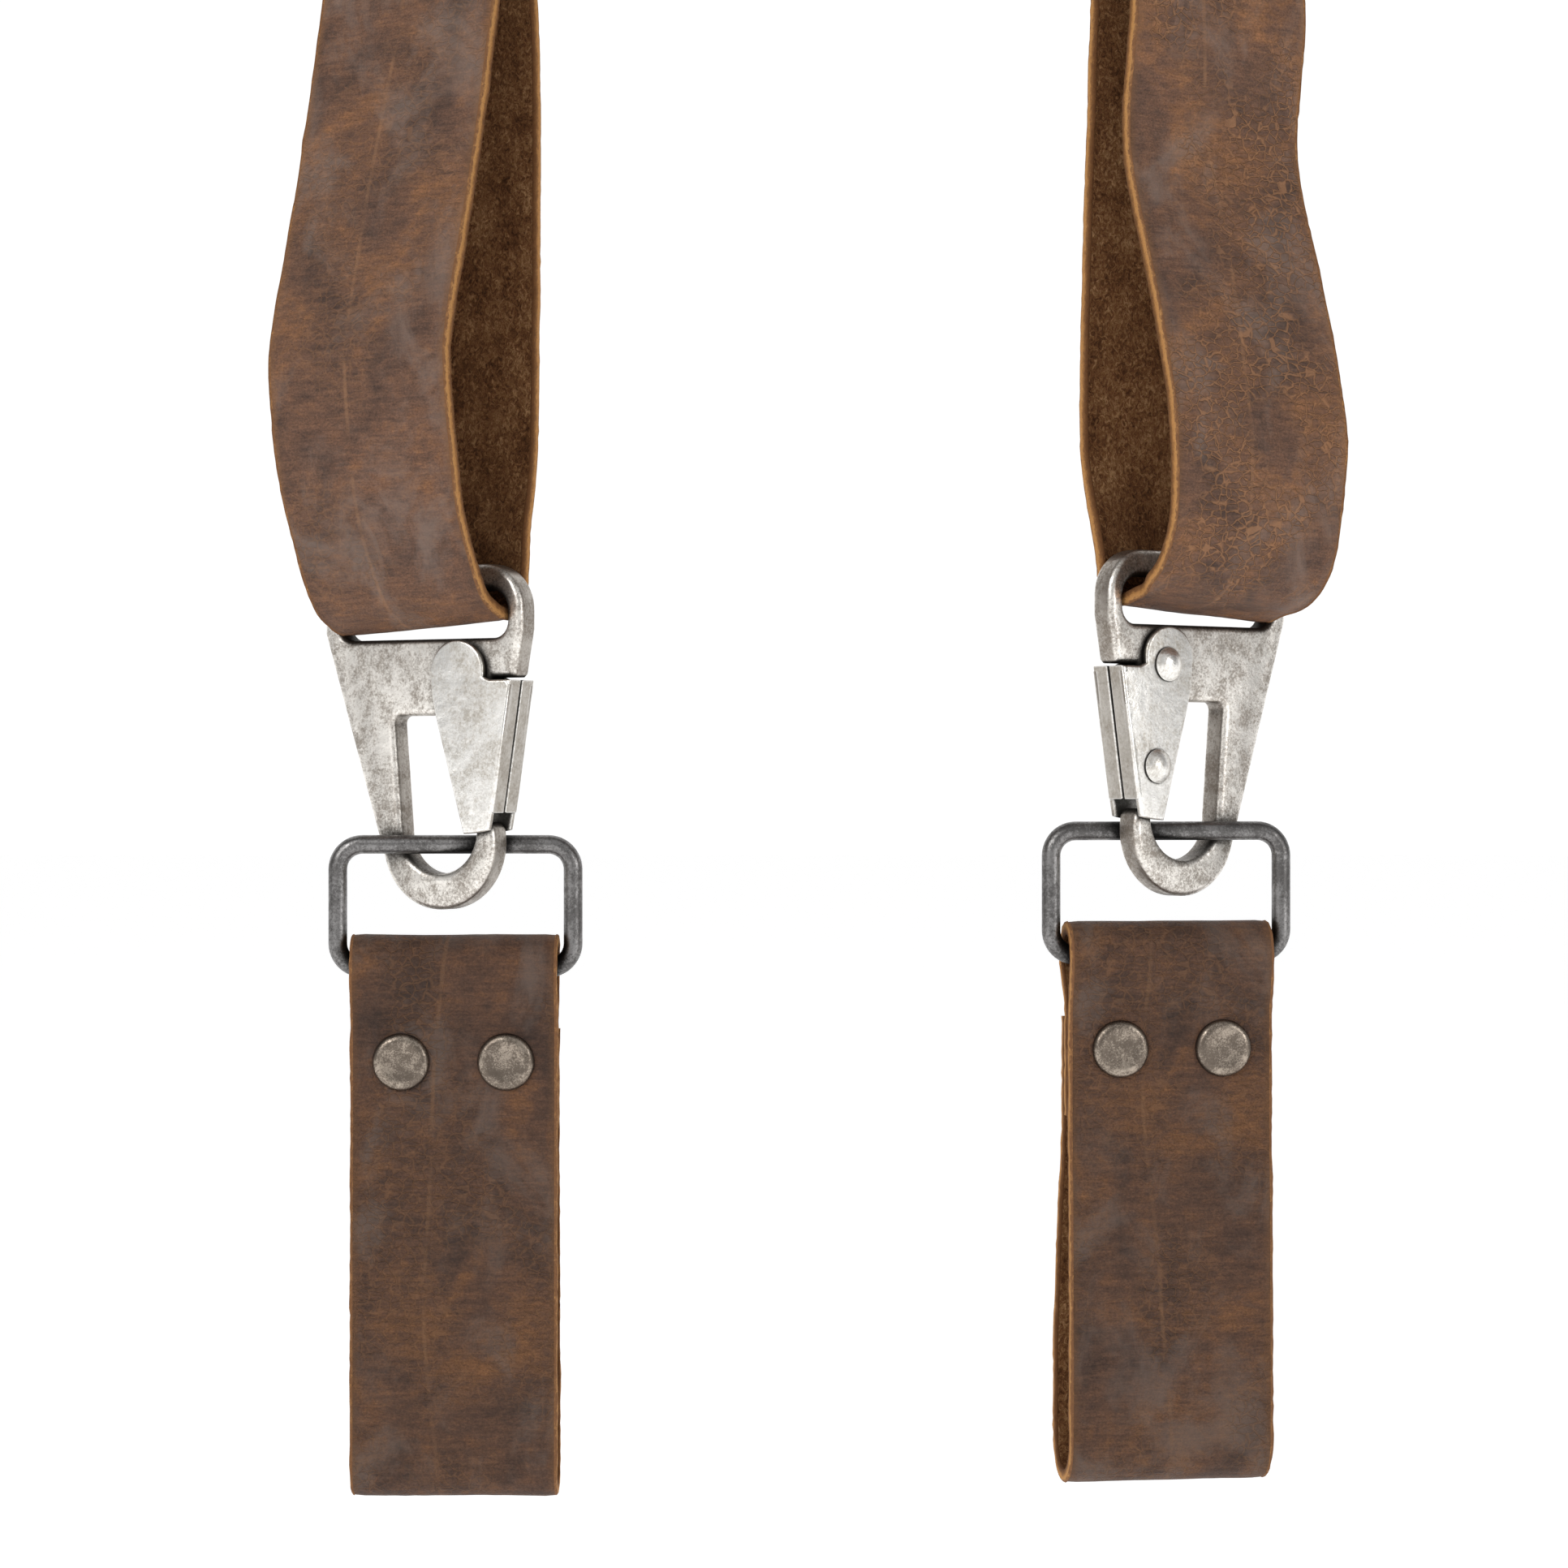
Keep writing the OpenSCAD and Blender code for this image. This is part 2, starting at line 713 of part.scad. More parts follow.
module hook_body_back() { hook_body(BACK); }
module hook_pivot_rivet_back() { hook_pivot_rivet(BACK); }
module gate_back() { gate(BACK); }
module gate_lower_rivet_back() { gate_lower_rivet(BACK); }
module gate_spring_back() { gate_spring(BACK); }
module ring_back() { ring(BACK); }
module belt_loop_back() { belt_loop(BACK); }
module belt_loop_caps_back() { belt_loop_caps(BACK); }
module belt_loop_posts_back() { belt_loop_posts(BACK); }

strap_left();
strap_right();
strap_back();
back_patch_outer();
back_patch_inner();
patch_rivet_caps();
patch_rivet_posts();
back_strap_rivet_caps();
back_strap_rivet_posts();
adjuster_screws();
adjuster_posts();
keeper_left();
keeper_right();
hook_body_left();
hook_pivot_rivet_left();
gate_left();
gate_lower_rivet_left();
gate_spring_left();
ring_left();
belt_loop_left();
belt_loop_caps_left();
belt_loop_posts_left();
hook_body_right();
hook_pivot_rivet_right();
gate_right();
gate_lower_rivet_right();
gate_spring_right();
ring_right();
belt_loop_right();
belt_loop_caps_right();
belt_loop_posts_right();
hook_body_back();
hook_pivot_rivet_back();
gate_back();
gate_lower_rivet_back();
gate_spring_back();
ring_back();
belt_loop_back();
belt_loop_caps_back();
belt_loop_posts_back();
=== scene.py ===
"""Leather suspenders hanging over a rail: the looks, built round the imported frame."""

import json
import math

import bmesh
import bpy
import numpy as np
from mathutils import Matrix, Vector, noise


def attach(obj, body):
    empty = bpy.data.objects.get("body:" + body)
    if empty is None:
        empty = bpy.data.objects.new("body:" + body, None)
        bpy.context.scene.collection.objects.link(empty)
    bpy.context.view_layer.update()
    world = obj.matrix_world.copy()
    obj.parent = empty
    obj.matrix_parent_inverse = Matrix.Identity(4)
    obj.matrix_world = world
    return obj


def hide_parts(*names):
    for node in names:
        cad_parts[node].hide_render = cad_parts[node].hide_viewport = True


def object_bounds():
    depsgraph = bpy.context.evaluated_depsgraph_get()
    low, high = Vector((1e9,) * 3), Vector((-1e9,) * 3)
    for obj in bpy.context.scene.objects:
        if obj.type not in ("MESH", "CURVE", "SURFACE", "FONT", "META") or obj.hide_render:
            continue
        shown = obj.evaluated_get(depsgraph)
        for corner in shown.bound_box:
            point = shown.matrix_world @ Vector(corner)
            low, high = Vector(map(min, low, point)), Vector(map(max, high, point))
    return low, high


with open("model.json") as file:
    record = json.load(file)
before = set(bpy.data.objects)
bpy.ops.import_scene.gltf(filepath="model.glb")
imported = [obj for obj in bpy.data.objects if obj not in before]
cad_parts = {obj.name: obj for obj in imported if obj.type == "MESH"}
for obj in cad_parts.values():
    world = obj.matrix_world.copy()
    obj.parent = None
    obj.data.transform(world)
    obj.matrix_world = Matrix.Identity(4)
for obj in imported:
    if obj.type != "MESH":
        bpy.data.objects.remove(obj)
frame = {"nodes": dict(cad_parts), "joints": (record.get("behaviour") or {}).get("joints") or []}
cad_low, cad_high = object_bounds()

MM = 0.001
UP = Vector((0, 0, 1))
JOINTS = {joint["name"]: joint for joint in frame["joints"]}

# ---------- sizes, in metres ----------

STRAP_W = 36 * MM
FOLD_W = 34.6 * MM  # a strap's width where it is squeezed through the eye
LEATHER = 2.4 * MM
PLY = 2.5 * MM  # from the middle of one ply to the middle of the next
RAIL_R = 20 * MM
ARCH_R = RAIL_R + LEATHER / 2
WIRE_R = 1.65 * MM
RING_W, RING_H, RING_CORNER = 44.6 * MM, 25 * MM, 4.35 * MM
BELT_LOOP_H = 92.6 * MM
RIVET_GAP = 18.3 * MM
RIVET_DROP = 16.2 * MM
PLATE_T = 5 * MM
SHEET_T = 1.2 * MM
CHEEK_IN = PLATE_T / 2 + 0.25 * MM
CHEEK_OUT = CHEEK_IN + SHEET_T


# ---------- frames of the three ends ----------


def axes_at(origin, across):
    """Matrix of a frame at origin whose x runs along across and whose z is up."""
    x = Vector(across).normalized()
    y = UP.cross(x)
    return Matrix.Translation(origin) @ Matrix((x, y, UP)).transposed().to_4x4()


def joint_frame(name):
    return axes_at(JOINTS[name]["pos_m"], JOINTS[name]["axis"])


def hook_frame(end):
    """The hook's own frame: x towards its gate, y through the plate, origin on the eye bar."""
    through = JOINTS[f"{end}_gate_open"]["axis"]
    return axes_at(JOINTS[f"{end}_hook_swing"]["pos_m"], (through[1], -through[0], 0))


# ---------- curves ----------


def smooth(t):
    t = min(1.0, max(0.0, t))
    return t * t * (3 - 2 * t)


def mix(a, b, t):
    return a + (b - a) * t


def spline(points, steps=12):
    """Catmull-Rom line through the points."""
    p = [Vector(q) for q in points]
    last = len(p) - 1
    line = []
    for i in range(last):
        a, b, c, d = p[max(0, i - 1)], p[i], p[i + 1], p[min(last, i + 2)]
        for k in range(steps):
            t = k / steps
            line.append(0.5 * (2 * b + (c - a) * t + (2 * a - 5 * b + 4 * c - d) * t * t
                               + (3 * b - a - 3 * c + d) * t ** 3))
    return line + [p[-1]]


def arc(centre, radius, start, end, steps):
    """Points on an arc, with its angles in degrees."""
    angles = [math.radians(mix(start, end, i / steps)) for i in range(steps + 1)]
    return [Vector((centre[0] + radius * math.cos(a), centre[1] + radius * math.sin(a))) for a in angles]


# ---------- leather strips ----------

STEP = 1.25 * MM  # between the stations along a strip
COLUMNS = 20
GRAIN, EDGE, SUEDE = 0, 1, 2
EDGE_ROUND = 0.42 * MM
CAP_BULGE = 1.5 * MM  # width of the ridge that a pressed cap raises round itself


def strip(name, stations, thick, grain_side, materials, seed, bulges=(), closed=False):
    """A band of leather along stations of (middle, half-width vector).

    grain_side is the sign of the normal, along x across, that the smooth side faces."""
    middles = np.array([s[0][:] for s in stations])
    halves = np.array([s[1][:] for s in stations])
    gaps = np.linalg.norm(np.diff(middles, axis=0), axis=1)
    run = np.concatenate([[0], np.cumsum(gaps)])
    count = max(8, round(run[-1] / STEP))
    where = np.linspace(0, run[-1], count + 1)
    middles = np.stack([np.interp(where, run, middles[:, i]) for i in range(3)], axis=1)
    halves = np.stack([np.interp(where, run, halves[:, i]) for i in range(3)], axis=1)
    if closed:
        middles, halves, where = middles[:-1], halves[:-1], where[:-1]
        along = np.roll(middles, -1, axis=0) - np.roll(middles, 1, axis=0)
    else:
        along = np.gradient(middles, axis=0)
    width = np.linalg.norm(halves, axis=1)
    across = halves / width[:, None]
    normal = np.cross(along, across)
    normal *= grain_side / np.linalg.norm(normal, axis=1)[:, None]

    # One turn round the section: the grain side, an edge, the suede side and the other edge
    turn = [math.radians(a) for a in (10, 45, 80)]
    inset = [EDGE_ROUND * (1 - math.sin(a)) for a in turn]
    rise = [thick / 2 - EDGE_ROUND * (1 - math.cos(a)) for a in turn]
    round_in = list(zip(inset, rise))
    ring = [(-1 + 2 * i / COLUMNS, None, 1, GRAIN) for i in range(COLUMNS + 1)]
    ring += [(1, d, s, EDGE) for d, s in round_in]
    ring += [(1, 0.0, 0, EDGE)]
    ring += [(1, d, -s, EDGE) for d, s in reversed(round_in)]
    ring += [(1 - 2 * i / COLUMNS, None, -1, SUEDE) for i in range(COLUMNS + 1)]
    ring += [(-1, d, -s, EDGE) for d, s in round_in]
    ring += [(-1, 0.0, 0, EDGE)]
    ring += [(-1, d, s, EDGE) for d, s in reversed(round_in)]
    n = len(ring)

    points, strips = [], []
    for i, here in enumerate(where):
        base, side_way, out, w = Vector(middles[i]), Vector(across[i]), Vector(normal[i]), width[i]
        along_mm = here / MM + seed * 37
        for u, d, s, part in ring:
            if part == EDGE:
                x = math.copysign(w - d, u)
                fray = 0.16 * noise.noise(Vector((along_mm * 0.9, s * 900, u * 5 + seed)))
                fray += 0.22 * noise.noise(Vector((along_mm * 0.13, u * 9, seed)))
                x += math.copysign(fray * MM - 0.1 * MM, u)
                z = s
            else:
                x = u * (w - EDGE_ROUND)
                z = s * thick / 2
                x_mm = x / MM
                if part == GRAIN:
                    soft = 0.16 * noise.noise(Vector((x_mm * 0.09, along_mm * 0.06, seed)))
                    soft += 0.05 * noise.noise(Vector((x_mm * 0.5, along_mm * 0.35, seed + 9)))
                    edge_dip = 0.14 * smooth((abs(x_mm) - (w / MM - 1.6)) / 1.4)
                    z += (soft - edge_dip - 0.05) * MM
                else:
                    z -= 0.1 * (noise.noise(Vector((x_mm * 1.1, along_mm * 1.1, seed + 4))) - 0.4) * MM
            spot = base + side_way * x + out * z
            for centre, radius, height in bulges:
                away = (spot - centre).length
                if part == GRAIN:
                    spot += out * height * math.exp(-((away - radius) / CAP_BULGE) ** 2)
            points.append(spot)
            strips.append((x / MM, along_mm, z / MM * LEATHER / thick))
    faces, parts = [], []
    rows = len(where)
    for i in range(rows if closed else rows - 1):
        j = (i + 1) % rows
        for k in range(n):
            m = (k + 1) % n
            faces.append((i * n + k, i * n + m, j * n + m, j * n + k))
            a, b = ring[k][3], ring[m][3]
            parts.append(a if a == b else EDGE)
    if not closed:
        for i, turned in ((0, True), (rows - 1, False)):
            cap = [i * n + k for k in range(n)]
            faces.append(tuple(reversed(cap)) if turned else tuple(cap))
            parts.append(EDGE)
    mesh = bpy.data.meshes.new(name)
    mesh.from_pydata([p[:] for p in points], [], faces)
    for material in materials:
        mesh.materials.append(material)
    mesh.polygons.foreach_set("material_index", parts)
    held = mesh.attributes.new("strip", "FLOAT_VECTOR", "POINT")
    held.data.foreach_set("vector", np.array(strips, np.float32).ravel())
    return finished(name, mesh)


def finished(name, mesh, sharp=None):
    """The mesh as an object with outward faces, smooth but for edges sharper than sharp degrees."""
    work = bmesh.new()
    work.from_mesh(mesh)
    bmesh.ops.recalc_face_normals(work, faces=work.faces)
    work.to_mesh(mesh)
    work.free()
    mesh.polygons.foreach_set("use_smooth", [True] * len(mesh.polygons))
    if sharp is not None:
        mesh.set_sharp_from_angle(angle=math.radians(sharp))
    piece = bpy.data.objects.new(name, mesh)
    bpy.context.scene.collection.objects.link(piece)
    return piece


# ---------- where the straps run ----------

TAIL_TOP = 178 * MM
DOUBLED = 1.3 * MM
TURN_END = -120 * MM
LEAN_START, LEAN_LEN, LEAN_SLOPE = -25 * MM, 70 * MM, 0.25
STRAP_END = -250 * MM

# Each strap loop in millimetres, as (in front of the eye bar, above it): down the back ply,
# under the bar and up the front ply
UNDER_BAR = [(-4.5, 0), (-4, -3.6), (-1.8, -6.5), (1.5, -7.4), (5.2, -6.4)]
LOOPS = {
    "left": [(-1.3, 178), (-1.3, 150), (-1.6, 128), (-4.6, 112), (-6.8, 92), (-7, 60), (-6.3, 25),
             (-5, 8), *UNDER_BAR, (10.3, -2.8), (16.6, 9), (20, 20.5), (22, 34.5), (21, 43), (13, 71),
             (6.2, 100), (1.9, 119), (1.32, 129), (1.3, 140), (1.3, 150), (1.3, 178)],
    "right": [(-1.3, 178), (-1.3, 150), (-1.6, 125), (-3.6, 99), (-5, 75), (-6.4, 51), (-7.1, 27),
              (-6.4, 10), *UNDER_BAR, (10.6, -5.2), (15.4, -1.8), (18.8, 4.5), (20.2, 14), (20.1, 24),
              (16.4, 39), (12.2, 52), (7.4, 66), (6, 77), (8.4, 98), (3.2, 117), (1.32, 129),
              (1.3, 140), (1.3, 150), (1.3, 178)],
    "back": [(-1.3, 64), (-1.3, 48), (-3.2, 34), (-4.9, 18), (-4.7, 6), *UNDER_BAR, (9, -3),
             (11.2, 8), (10.4, 20), (5.2, 35), (1.3, 48), (1.3, 64), (0.4, 76), (0, 83), (0, 105),
             (0, 111)],
}
BACK_TAIL_TOP, BACK_FLAT = 64, 83
TWIST = {"left": math.radians(1.5), "right": math.radians(-7.5), "back": 0.0}  # above the fold
FOLD_TILT = {"left": 2.2 / 36, "right": -2.2 / 36, "back": 0.0}


def half_width(z):
    return mix(FOLD_W, STRAP_W, smooth((z - 6 * MM) / (16 * MM))) / 2


def strap_station(end, n, z, angle):
    """Station n in front of the eye bar and z above it, with the strap turned by angle."""
    eye = Vector(JOINTS[f"{end}_hook_swing"]["pos_m"])
    lean = FOLD_TILT[end] * (1 - smooth((z + 4 * MM) / (40 * MM)))
    front = Vector((math.sin(angle), -math.cos(angle), 0))
    return eye + front * n + UP * z, Vector((math.cos(angle), math.sin(angle), lean)) * half_width(z)


def strap_angle(end):
    axis = JOINTS[f"{end}_hook_swing"]["axis"]
    return math.atan2(axis[1], axis[0])


def front_strap_stations(end, side):
    turn = strap_angle(end)
    eye = Vector(JOINTS[f"{end}_hook_swing"]["pos_m"])
    above = turn + TWIST[end]
    stations = []
    for p in spline(LOOPS[end]):
        share = max(smooth((p[0] - 5) / 8), smooth((p[1] - 4) / 16))
        stations.append(strap_station(end, p[0] * MM, p[1] * MM, mix(turn, above, share)))
    start = eye.z + TAIL_TOP
    for i in range(1, 65):
        z = mix(start, TURN_END, i / 64)
        share = smooth((z - start) / (TURN_END - start))
        stations.append(strap_station(end, DOUBLED * (1 - share), z - eye.z, above * (1 - share)))
    for i in range(41):
        a = math.pi * i / 40
        middle = Vector((eye.x, -ARCH_R * math.cos(a), -RAIL_R + ARCH_R * math.sin(a)))
        stations.append((middle, Vector((STRAP_W / 2, 0, 0))))
    for i in range(49):
        z = mix(LEAN_START, STRAP_END, i / 48)
        bent = min(LEAN_LEN, max(0, LEAN_START - z))
        rest = max(0, LEAN_START - LEAN_LEN - z)
        inward = LEAN_SLOPE * (bent * bent / (2 * LEAN_LEN) + rest)
        slope = LEAN_SLOPE * min(1, bent / LEAN_LEN)
        way = Vector((1, 0, -side * slope)).normalized()
        stations.append((Vector((eye.x - side * inward, ARCH_R, z)), way * STRAP_W / 2))
    return stations


def back_strap_stations():
    turn = strap_angle("back")
    line = []
    for p in spline(LOOPS["back"]):
        angle = mix(turn, math.pi, smooth((p[1] - BACK_TAIL_TOP) / (BACK_FLAT - BACK_TAIL_TOP)))
        line.append(strap_station("back", p[0] * MM, p[1] * MM, angle))
    return line


# How far the back ply of each belt loop stands away from the front ply
BELLY = {"left": 2.2, "right": 7, "back": 3.5}


def belt_loop_stations(end):
    """Down from the tail's end, over the ring's bar, down the front and up the back."""
    ply, height, thick = PLY / MM, BELT_LOOP_H / MM, LEATHER / MM
    front, back = -ply - 0.9, ply + BELLY[end]
    r = (back - front) / 2
    bottom = -height + thick / 2 + r
    line = spline([(0, -28), (0, -16), (0, -11.4), (0.6, -8), (2.7, -4.2), (4.2, 0), (3, 3.6), (0, 4.8),
                   (-3, 3.6), (-4.2, 0), (-3.7, -4.5), (-2.7, -8.5), (-ply, -12), (-ply, -20),
                   (-ply, -30), (front + 0.3, -46), (front, bottom + 14), (front, bottom + 7)])
    line += arc((front + r, bottom), r, 180, 360, 30)
    line += spline([(back, bottom + 7), (back - 0.1, bottom + 16), (ply + BELLY[end] * 0.5, -47),
                    (ply + BELLY[end] * 0.12, -36), (ply + 0.05, -29), (ply, -20), (ply, -10.8)])
    place = joint_frame(f"{end}_belt_loop_swing")
    half = place.to_3x3() @ Vector((STRAP_W / 2, 0, 0))
    return [(place @ Vector((0, p[0] * MM, p[1] * MM)), half) for p in line]


def keeper_stations(end):
    """Round the doubled strap, just above the screws."""
    x, y, r = 18.4 + 0.8, 2.85 + 0.8, 1.9
    outline = []
    for cx, cy, start in ((x - r, y - r, 0), (r - x, y - r, 90), (r - x, r - y, 180), (x - r, r - y, 270)):
        outline += arc((cx, cy), r, start, start + 90, 8)
    outline.append(outline[0])
    place = joint_frame(f"{end}_hook_swing") @ Matrix.Rotation(TWIST[end], 4, "Z")
    place = place @ Matrix.Translation((0, 0, 168 * MM))
    return [(place @ Vector((p[0] * MM, p[1] * MM, 0)), UP * 5.5 * MM) for p in outline]


# ---------- metal pieces ----------


def plate(name, outlines, thick, bevel, place, middle=0.0):
    """A cast plate with rounded edges, from closed outlines in millimetres in the frame's x and z."""
    curve = bpy.data.curves.new(name, "CURVE")
    curve.dimensions = "2D"
    curve.fill_mode = "BOTH"
    curve.extrude = thick / 2 - bevel
    curve.bevel_depth = bevel
    curve.bevel_resolution = 4
    curve.offset = -bevel
    for outline in outlines:
        line = curve.splines.new("POLY")
        line.points.add(len(outline) - 1)
        for point, p in zip(line.points, outline):
            point.co = (p[0] * MM, p[1] * MM, 0, 1)
        line.use_cyclic_u = True
    flat = bpy.data.objects.new(name + "_curve", curve)
    bpy.context.scene.collection.objects.link(flat)
    bpy.context.view_layer.update()
    solid = flat.evaluated_get(bpy.context.evaluated_depsgraph_get())
    mesh = bpy.data.meshes.new_from_object(solid)
    bpy.data.objects.remove(flat)
    stand_up = Matrix(((1, 0, 0, 0), (0, 0, -1, middle), (0, 1, 0, 0), (0, 0, 0, 1)))
    mesh.transform(place @ stand_up)
    work = bmesh.new()
    work.from_mesh(mesh)
    bmesh.ops.remove_doubles(work, verts=work.verts, dist=2e-6)
    work.to_mesh(mesh)
    work.free()
    mesh.name = name
    return mesh


def joined(name, meshes, material, sharp=50):
    """Several meshes as one object with one material."""
    work = bmesh.new()
    for mesh in meshes:
        work.from_mesh(mesh)
    mesh = bpy.data.meshes.new(name)
    work.to_mesh(mesh)
    work.free()
    mesh.materials.clear()
    mesh.materials.append(material)
    return finished(name, mesh, sharp)


def softened(outline, radius, steps=4):
    """A closed outline with each sharp corner of the plain points rounded."""
    p = [Vector(q) for q in outline]
    line = []
    for i, b in enumerate(p):
        a, c = p[i - 1], p[(i + 1) % len(p)]
        reach = min(radius, (a - b).length * 0.45, (c - b).length * 0.45)
        s, e = b + (a - b).normalized() * reach, b + (c - b).normalized() * reach
        for k in range(steps + 1):
            t = k / steps
            line.append(s * (1 - t) ** 2 + b * 2 * t * (1 - t) + e * t * t)
    return line


EYE_OUTER, EYE_ARM, EYE_CORNER = 20.9, 3.2, 8.0
HOOK_C, HOOK_R = (3.3, -46.1), 11.8
BOW_C, BOW_R = (3.4, -43.8), 7.8
WINDOW_TOP, SHOULDER, NOSE_TOP = -23.9, -17.4, -42.5
PIVOT = (9, -17.5)


def hook_outlines():
    """The cast body: its outside with the open mouth, and the eye that the strap goes through."""
    corner = (EYE_OUTER - EYE_CORNER, 2.4 - EYE_CORNER)
    outside = arc(HOOK_C, HOOK_R, 198, 372, 48)
    outside += softened([(14.4, NOSE_TOP - 0.4), (13.7, NOSE_TOP), (11.8, NOSE_TOP)], 0.5)[5:10]
    outside += arc(BOW_C, BOW_R, 8, -180, 40)
    outside += [Vector((-5.9, WINDOW_TOP - 1.5))]
    outside += arc((-4.5, WINDOW_TOP - 1.4), 1.4, 170, 90, 6)
    outside += [Vector((13.9, WINDOW_TOP)), Vector((14.5, WINDOW_TOP + 0.6)),
                Vector((14.5, SHOULDER - 0.4)), Vector((14.9, SHOULDER)), Vector((18.9, SHOULDER)),
                Vector((19.5, SHOULDER + 0.6)), Vector((EYE_OUTER, -9))]
    outside += arc(corner, EYE_CORNER, 0, 90, 14)
    outside += arc((-corner[0], corner[1]), EYE_CORNER, 90, 180, 14)
    outside += [Vector((-EYE_OUTER, -9.2))]
    inner_x, inner_top, floor = EYE_OUTER - EYE_ARM, -2.2, -10.5
    eye = arc((inner_x - 3, floor + 3), 3, 0, -90, 8)
    eye += arc((3 - inner_x, floor + 3), 3, -90, -180, 8)
    eye += arc((3.6 - inner_x, inner_top - 3.6), 3.6, 180, 90, 8)
    eye += arc((inner_x - 3.6, inner_top - 3.6), 3.6, 90, 0, 8)
    return [outside, eye]


def cheek_outline():
    """Side of the gate: a round head at the pivot, then a leaf that narrows towards the nose."""
    line = arc((8.4, -16.3), 5.5, -10, 190, 30)
    line += [Vector((3.0, -18.4)), Vector((3.2, -20.5)), Vector((3.9, -24))]
    line += arc(PIVOT, 27.1, 271.6, 283, 6)
    line += [Vector((16.5, -36.7)), Vector((19.4, -18.8)), Vector((18.7, -17.85)), Vector((15.2, -17.85)),
             Vector((14.3, -17.5))]
    return line


def web_outline():
    """Section of the gate's spine, from the shoulder to its foot."""
    outer = [(19.5, -17.85), (16.6, -36.7), (15.9, -40.9)]
    return [Vector(p) for p in outer] + [Vector((p[0] - 1.5, p[1])) for p in reversed(outer)]


def gate_meshes(place):
    half = (CHEEK_OUT - 0.14 * MM) / 2
    spine_mid = 0.14 * MM + half
    meshes = []
    for side, skin in ((-1, 0.12 * MM), (1, 0)):  # the smooth side covers the rivets' ends
        middle = (CHEEK_IN + CHEEK_OUT + skin) / 2
        meshes.append(plate("cheek", [cheek_outline()], SHEET_T + skin, 0.5 * MM, place, side * middle))
        meshes.append(plate("web", [web_outline()], 2 * half, 0.5 * MM, place, side * spine_mid))
    return meshes


def lathe(name, profile, places, material, segments=56):
    """A turned piece at each place, from (radius, height) points in millimetres about its z."""
    work = bmesh.new()
    for place in places:
        rings = []
        for radius, height in profile:
            if radius == 0:
                rings.append([work.verts.new(place @ Vector((0, 0, height * MM)))])
                continue
            turn = [2 * math.pi * i / segments for i in range(segments)]
            rings.append([work.verts.new(place @ Vector((radius * MM * math.cos(a),
                                                         radius * MM * math.sin(a), height * MM)))
                          for a in turn])
        for a, b in zip(rings, rings[1:]):
            for i in range(segments):
                j = (i + 1) % segments
                corners = [a[i % len(a)], a[j % len(a)], b[j % len(b)], b[i % len(b)]]
                work.faces.new(list(dict.fromkeys(corners)))
    mesh = bpy.data.meshes.new(name)
    work.to_mesh(mesh)
    work.free()
    mesh.materials.append(material)
    return finished(name, mesh, 60)


CAP = [(0, 1.3), (1.6, 1.3), (2.6, 1.34), (3.3, 1.44), (3.8, 1.46), (4.3, 1.34), (4.7, 1.05), (4.95, 0.6),
       (5, 0.3), (4.9, 0), (4.5, -0.1), (0, -0.1)]


def post(reach):
    """Profile of a rivet's post: its disc, and the shank that goes through the leather."""
    return [(0, 0.95), (1.2, 0.95), (1.5, 1.12), (3.6, 1.14), (4.4, 0.95), (4.85, 0.6), (5, 0.3),
            (4.9, 0), (4.5, -0.1), (1.5, -0.1), (1.5, -reach), (0, -reach)]


def facing(place, spots, y, outward):
    """Matrices at spots (x, z) of a frame, at depth y, whose z axis faces outward along y."""
    turn = Matrix.Rotation(math.radians(-90 * outward), 4, "X")
    return [place @ Matrix.Translation((x, y, z)) @ turn for x, z in spots]


def ring_mesh(name, place, material):
    """The wire ring: a round wire swept along a rounded rectangle."""
    half_w, drop, r = RING_W / 2 - WIRE_R, RING_H - 2 * WIRE_R, RING_CORNER
    outline = []
    for cx, cz, start in ((half_w - r, -r, 0), (r - half_w, -r, 90), (r - half_w, r - drop, 180),
                          (half_w - r, r - drop, 270)):
        outline += arc((cx, cz), r, start, start + 90, 12)
    curve = bpy.data.curves.new(name, "CURVE")
    curve.dimensions = "3D"
    curve.bevel_depth = WIRE_R
    curve.bevel_resolution = 6
    line = curve.splines.new("POLY")
    line.points.add(len(outline) - 1)
    for point, p in zip(line.points, outline):
        point.co = (*(place @ Vector((p[0], 0, p[1]))), 1)
    line.use_cyclic_u = True
    wire = bpy.data.objects.new(name + "_curve", curve)
    bpy.context.scene.collection.objects.link(wire)
    bpy.context.view_layer.update()
    mesh = bpy.data.meshes.new_from_object(wire.evaluated_get(bpy.context.evaluated_depsgraph_get()))
    bpy.data.objects.remove(wire)
    mesh.materials.clear()
    mesh.materials.append(material)
    return finished(name, mesh)


# ---------- materials ----------


